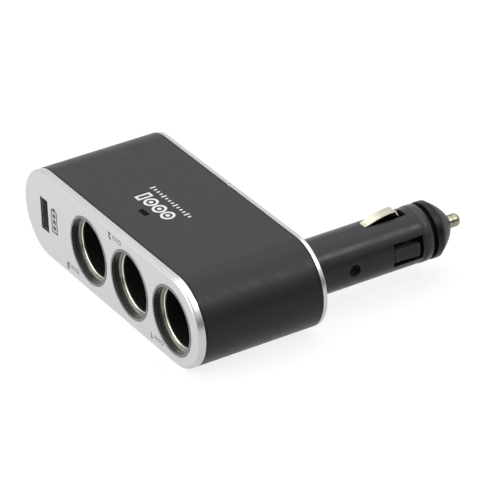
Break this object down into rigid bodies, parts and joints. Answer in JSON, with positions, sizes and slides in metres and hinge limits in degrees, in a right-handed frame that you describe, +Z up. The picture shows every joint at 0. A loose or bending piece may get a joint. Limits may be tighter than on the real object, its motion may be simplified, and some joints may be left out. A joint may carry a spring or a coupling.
{
  "type": "car power socket splitter",
  "caption": "Flat round-ended body with car power sockets and a USB port in front, and a fused car plug with sprung ground contacts behind.",
  "frame": {"origin": "on the plug's axis, where the plug leaves the rear cover's face", "axes": "+Y along the plug to its tip, +X to the body's end beside the plug, +Z up"},
  "size_m": [0.124, 0.1201, 0.0344],
  "materials": {
    "sleeve_black": "satin black moulded plastic",
    "body_silver": "silver paint on plastic",
    "window_red": "dark red tinted plastic",
    "mouth_chrome": "bright plating",
    "shell_nickel": "nickel plated steel",
    "insulator_brown": "brown phenolic board",
    "contact_brass": "bright brass",
    "tinned_steel": "tin plated steel",
    "dark_plastic": "black moulded plastic",
    "board_green": "green solder mask",
    "capacitor_sleeve": "dark shrink sleeve",
    "light_red": "red tinted epoxy",
    "wire_red": "red soft insulation",
    "wire_black": "black soft insulation",
    "screw_steel": "zinc plated steel",
    "plug_black": "black moulded plastic",
    "contact_nickel": "nickel plated brass",
    "seal_rubber": "black rubber",
    "fuse_glass": "clear glass",
    "fuse_metal": "plated caps and wire"
  },
  "bodies": {
    "housing": {"outer_sleeve": "sleeve_black", "front_bezel": "body_silver", "rear_cover": "body_silver", "light_window": "window_red", "mouth_ring_1": "mouth_chrome", "mouth_ring_2": "mouth_chrome", "mouth_ring_3": "mouth_chrome", "socket_shell_1": "shell_nickel", "socket_shell_2": "shell_nickel", "socket_shell_3": "shell_nickel", "socket_insulator_1": "insulator_brown", "socket_insulator_2": "insulator_brown", "socket_insulator_3": "insulator_brown", "centre_contact_1": "contact_brass", "centre_contact_2": "contact_brass", "centre_contact_3": "contact_brass", "positive_bus_bar": "contact_brass", "ground_bus_bar": "tinned_steel", "usb_shell": "tinned_steel", "usb_tongue": "dark_plastic", "usb_contacts": "contact_brass", "circuit_board": "board_green", "smoothing_capacitor": "capacitor_sleeve", "power_inductor": "dark_plastic", "converter_chip": "dark_plastic", "indicator_light": "light_red", "light_wires": "wire_red", "board_positive_wire": "wire_red", "board_ground_wire": "wire_black", "housing_screws": "screw_steel", "plug_clamp_plate": "tinned_steel", "clamp_screws": "screw_steel", "plug_half_right": "plug_black", "plug_half_left": "plug_black", "plug_screw": "screw_steel", "ground_strap": "contact_nickel", "fuse_spring": "fuse_metal", "positive_terminal": "contact_brass", "positive_wire": "wire_red", "ground_wire": "wire_black"},
    "ground_contact_top": {"ground_contact_top": "contact_nickel"},
    "ground_contact_bottom": {"ground_contact_bottom": "contact_nickel"},
    "tongue_right": {"retention_tongue_right": "plug_black"},
    "tongue_left": {"retention_tongue_left": "plug_black"},
    "tip": {"tip_contact": "contact_nickel", "fuse_glass": "fuse_glass", "fuse_cap_front": "fuse_metal", "fuse_cap_rear": "fuse_metal", "fuse_element": "fuse_metal"},
    "seal": {"nose_seal": "seal_rubber"},
    "cap": {"nose_cap": "plug_black"}
  },
  "joints": [
    {"name": "tip_press", "type": "slide", "parent": "housing", "child": "tip", "axis": [0, -1, 0], "range_m": [0, 0.003], "stiffness_N_per_m": 500, "springref_m": -0.004, "deforming": ["fuse_spring"]},
    {"name": "ground_contact_top_flex", "type": "hinge", "parent": "housing", "child": "ground_contact_top", "pos_m": [0, 0.02844, 0.00987], "axis": [-1, 0, 0], "range_deg": [0, 13], "stiffness_Nm_per_rad": 0.12},
    {"name": "ground_contact_bottom_flex", "type": "hinge", "parent": "housing", "child": "ground_contact_bottom", "pos_m": [0, 0.02844, -0.00987], "axis": [1, 0, 0], "range_deg": [0, 4], "stiffness_Nm_per_rad": 0.12},
    {"name": "tongue_right_flex", "type": "hinge", "parent": "housing", "child": "tongue_right", "pos_m": [0.00965, 0.03535, 0], "axis": [0, 0, 1], "range_deg": [0, 6], "stiffness_Nm_per_rad": 0.2},
    {"name": "tongue_left_flex", "type": "hinge", "parent": "housing", "child": "tongue_left", "pos_m": [-0.00965, 0.03535, 0], "axis": [0, 0, -1], "range_deg": [0, 6], "stiffness_Nm_per_rad": 0.2},
    {"name": "cap_travel", "type": "slide", "parent": "housing", "child": "seal", "axis": [0, 1, 0], "range_m": [0, 0.005]},
    {"name": "cap_turn", "type": "hinge", "parent": "seal", "child": "cap", "pos_m": [0, 0.05435, 0], "axis": [0, 1, 0], "range_deg": [0, 900]}
  ],
  "couplings": [
    {"joint": "cap_turn", "follows": "cap_travel", "rad_per_m": 3141.5}
  ]
}
